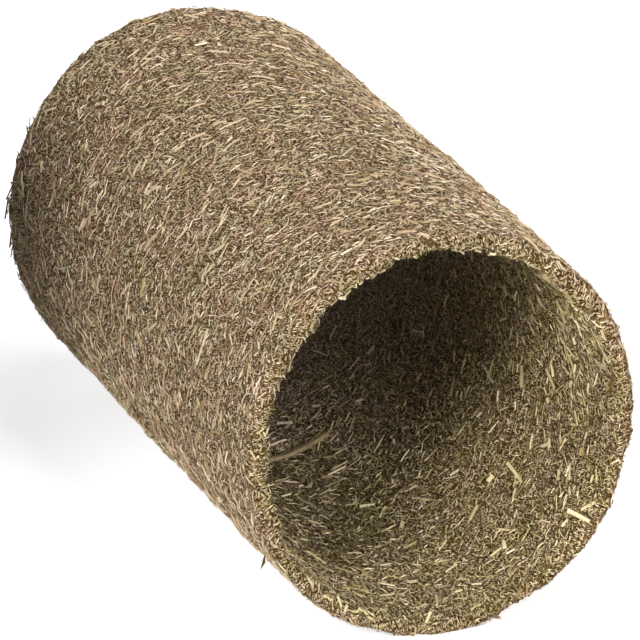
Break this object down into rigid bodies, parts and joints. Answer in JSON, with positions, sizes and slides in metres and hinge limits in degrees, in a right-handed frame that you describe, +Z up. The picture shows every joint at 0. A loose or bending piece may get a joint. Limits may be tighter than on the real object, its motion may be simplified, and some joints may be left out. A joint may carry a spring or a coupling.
{
  "type": "pressed hay tube",
  "caption": "Open-ended tube of pressed, chopped alfalfa hay lying on its side, a tunnel, nest and chew for rabbits and other small pets.",
  "frame": {"origin": "middle of the tube's footprint, on the surface that it rests on", "axes": "+Z up, Y along the tube's axis with the slanted end at -Y, +X to the right when looking in at that end"},
  "size_m": [0.1388, 0.2532, 0.1407],
  "materials": {
    "pressed_hay": "matte"
  },
  "bodies": {
    "root": {"hay_tube": "pressed_hay"}
  },
  "joints": []
}
